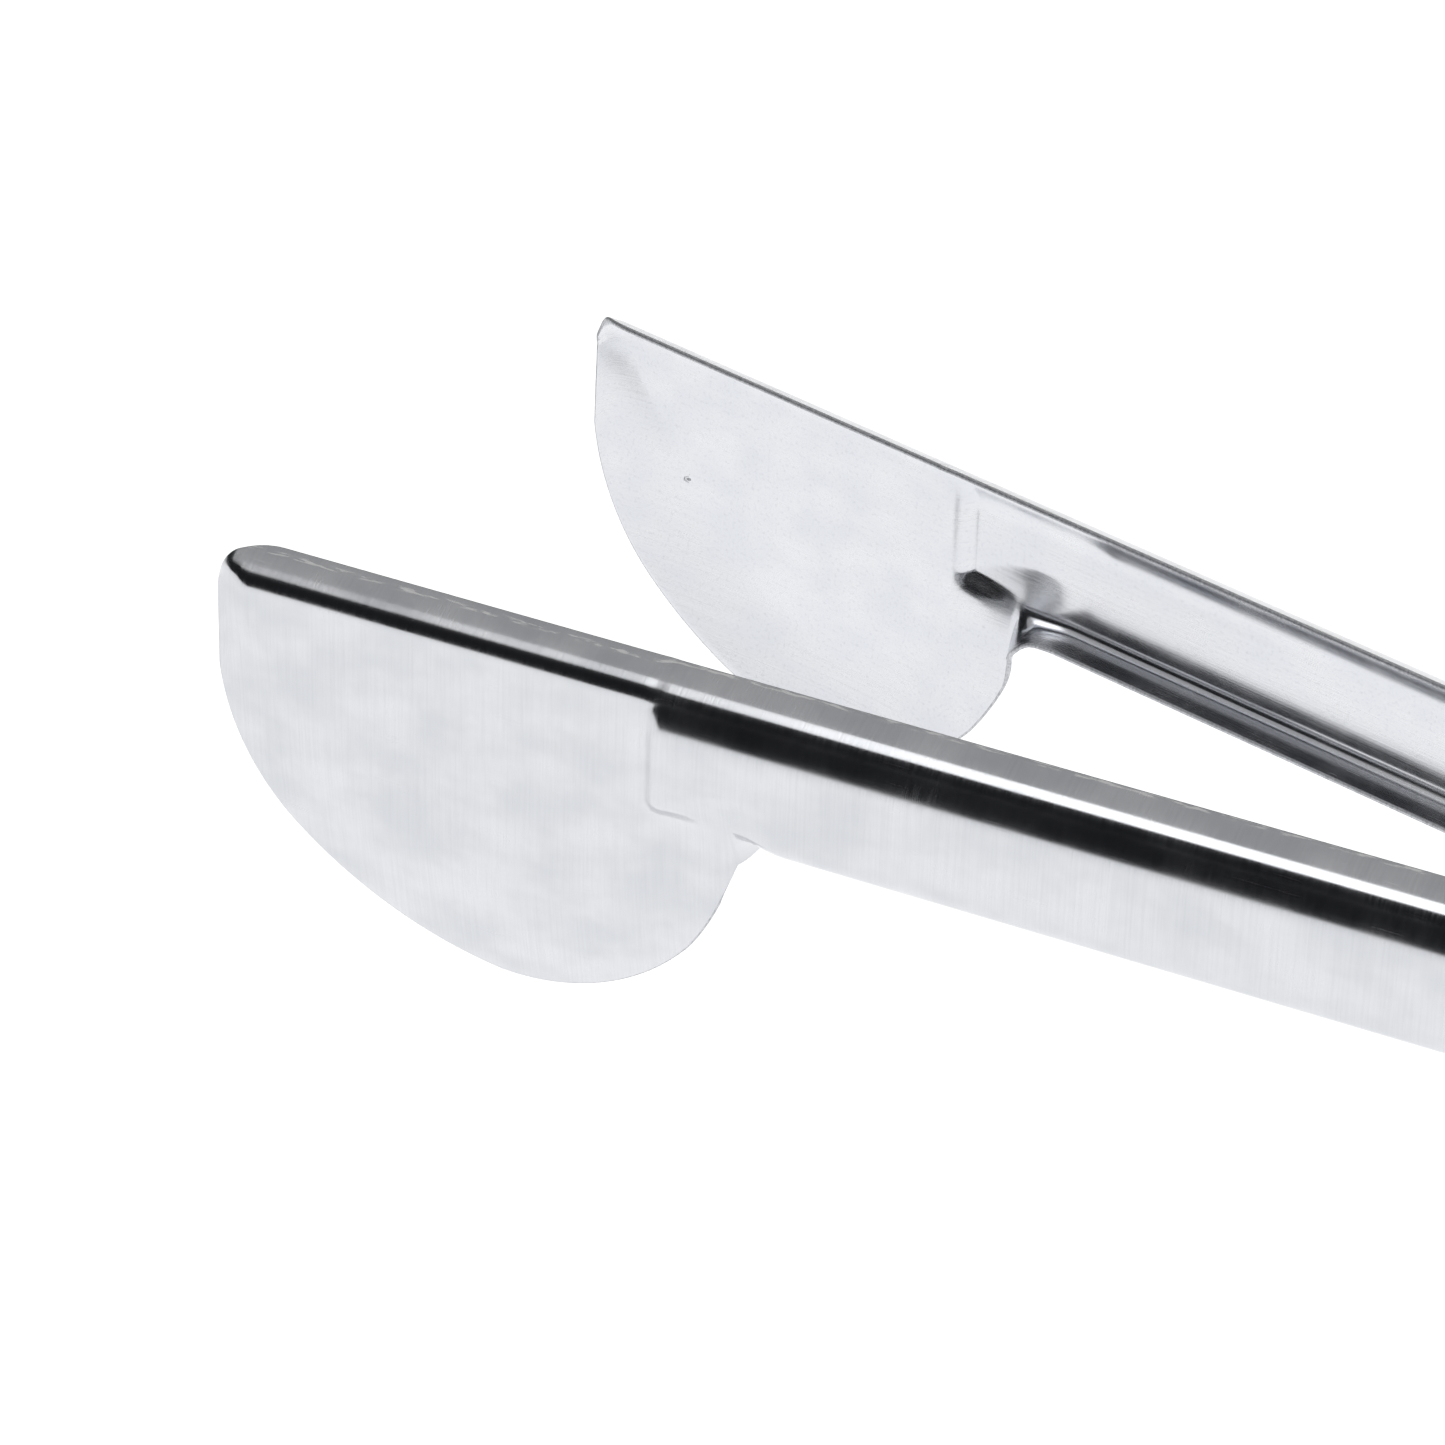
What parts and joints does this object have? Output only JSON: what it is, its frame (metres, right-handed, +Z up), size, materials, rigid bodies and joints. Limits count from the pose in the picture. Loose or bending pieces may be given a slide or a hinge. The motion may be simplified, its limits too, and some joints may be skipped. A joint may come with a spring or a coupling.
{
  "type": "broad-bladed spring tongs",
  "caption": "Sprung stainless serving tongs: two pressed channel arms with broad half-round flat blades, riveted at the back, with a pull-out lock slider.",
  "frame": {"origin": "under the middle of the open tongs, at the height of the blades' lowest point", "axes": "+Z up along the rivet axis, blades towards -X, front arm on the -Y side"},
  "size_m": [0.259, 0.0812, 0.0481],
  "materials": {
    "arm_steel": "brushed",
    "rivet_steel": "satin",
    "bush_steel": "turned",
    "spring_wire": "drawn",
    "slider_steel": "satin"
  },
  "bodies": {
    "pivot": {"pivot_rivet": "rivet_steel", "rivet_washer": "rivet_steel", "spring_bush": "bush_steel", "torsion_spring": "spring_wire"},
    "front": {"front_arm": "arm_steel"},
    "rear": {"rear_arm": "arm_steel"},
    "slider": {"lock_slider": "slider_steel", "lock_pin": "rivet_steel"}
  },
  "joints": [
    {"name": "front_arm_hinge", "type": "hinge", "parent": "pivot", "child": "front", "pos_m": [0.10255, 0, 0.035], "axis": [0, 0, -1], "range_deg": [0, 8.1], "stiffness_Nm_per_rad": 0.25, "springref_deg": -20.05, "deforming": ["torsion_spring"]},
    {"name": "rear_arm_hinge", "type": "hinge", "parent": "pivot", "child": "rear", "pos_m": [0.10255, 0, 0.035], "axis": [0, 0, 1], "range_deg": [0, 8.1], "stiffness_Nm_per_rad": 0.25, "springref_deg": -20.05},
    {"name": "lock_slide", "type": "slide", "parent": "pivot", "child": "slider", "axis": [1, 0, 0], "range_m": [0, 0.006]}
  ],
  "couplings": [
    {"joint": "rear_arm_hinge", "follows": "front_arm_hinge", "ratio": 1},
    {"joint": "lock_slide", "follows": "front_arm_hinge", "m_per_rad": 0.042437}
  ]
}
